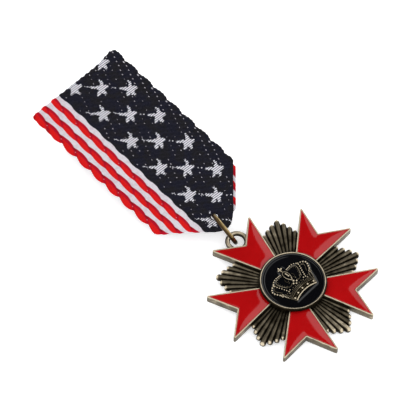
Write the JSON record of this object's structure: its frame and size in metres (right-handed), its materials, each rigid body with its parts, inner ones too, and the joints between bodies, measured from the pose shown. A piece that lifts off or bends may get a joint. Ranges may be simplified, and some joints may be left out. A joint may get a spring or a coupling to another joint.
{
  "type": "military service medal",
  "caption": "Enamelled five-armed star medal on a jump ring and a pointed folded ribbon, with a brooch pin behind the ribbon's top end.",
  "frame": {"origin": "middle of the bounding box at the table that the medal lies on, face up", "axes": "+X across the ribbon to its navy side, +Y up the ribbon's length away from the star, +Z out of the medal's face"},
  "size_m": [0.0468, 0.1108, 0.01],
  "materials": {
    "star_brass": "antiqued: dark recesses, worn pale highlights",
    "ring_brass": "bright drawn wire",
    "pin_steel": "nickel plated",
    "red_enamel": "glossy filled enamel",
    "black_enamel": "glossy filled enamel",
    "ribbon_cloth": "jacquard woven",
    "thread": "matte"
  },
  "bodies": {
    "ribbon_body": {"ribbon": "ribbon_cloth", "pin_base": "pin_steel", "hinge_rivet": "pin_steel", "stitch_tack_left": "thread", "stitch_tack_right": "thread"},
    "ring_body": {"jump_ring": "ring_brass"},
    "star_body": {"star_casting": "star_brass", "arm_enamel_1": "red_enamel", "arm_enamel_2": "red_enamel", "arm_enamel_3": "red_enamel", "arm_enamel_4": "red_enamel", "arm_enamel_5": "red_enamel", "centre_boss": "star_brass", "centre_enamel": "black_enamel", "crown_emblem": "star_brass"},
    "pin_body": {"pin_stem": "pin_steel"},
    "catch_body": {"catch_drum": "pin_steel"}
  },
  "joints": [
    {"name": "ring_swing", "type": "hinge", "parent": "ribbon_body", "child": "ring_body", "pos_m": [-0.0024, -0.00363, 0.00547], "axis": [0.929, -0.124, 0.3486], "range_deg": [-4, 18]},
    {"name": "star_swing", "type": "hinge", "parent": "ring_body", "child": "star_body", "pos_m": [-0.00286, -0.00831, 0.00502], "axis": [0.929, -0.124, 0.3486], "range_deg": [-10, 50]},
    {"name": "pin_open", "type": "hinge", "parent": "ribbon_body", "child": "pin_body", "pos_m": [-0.01396, 0.04456, 0.00187], "axis": [0, 1, 0], "range_deg": [0, 60]},
    {"name": "catch_lock", "type": "hinge", "parent": "ribbon_body", "child": "catch_body", "pos_m": [0.00844, 0.04456, 0.00187], "axis": [1, 0, 0], "range_deg": [-120, 0]}
  ]
}
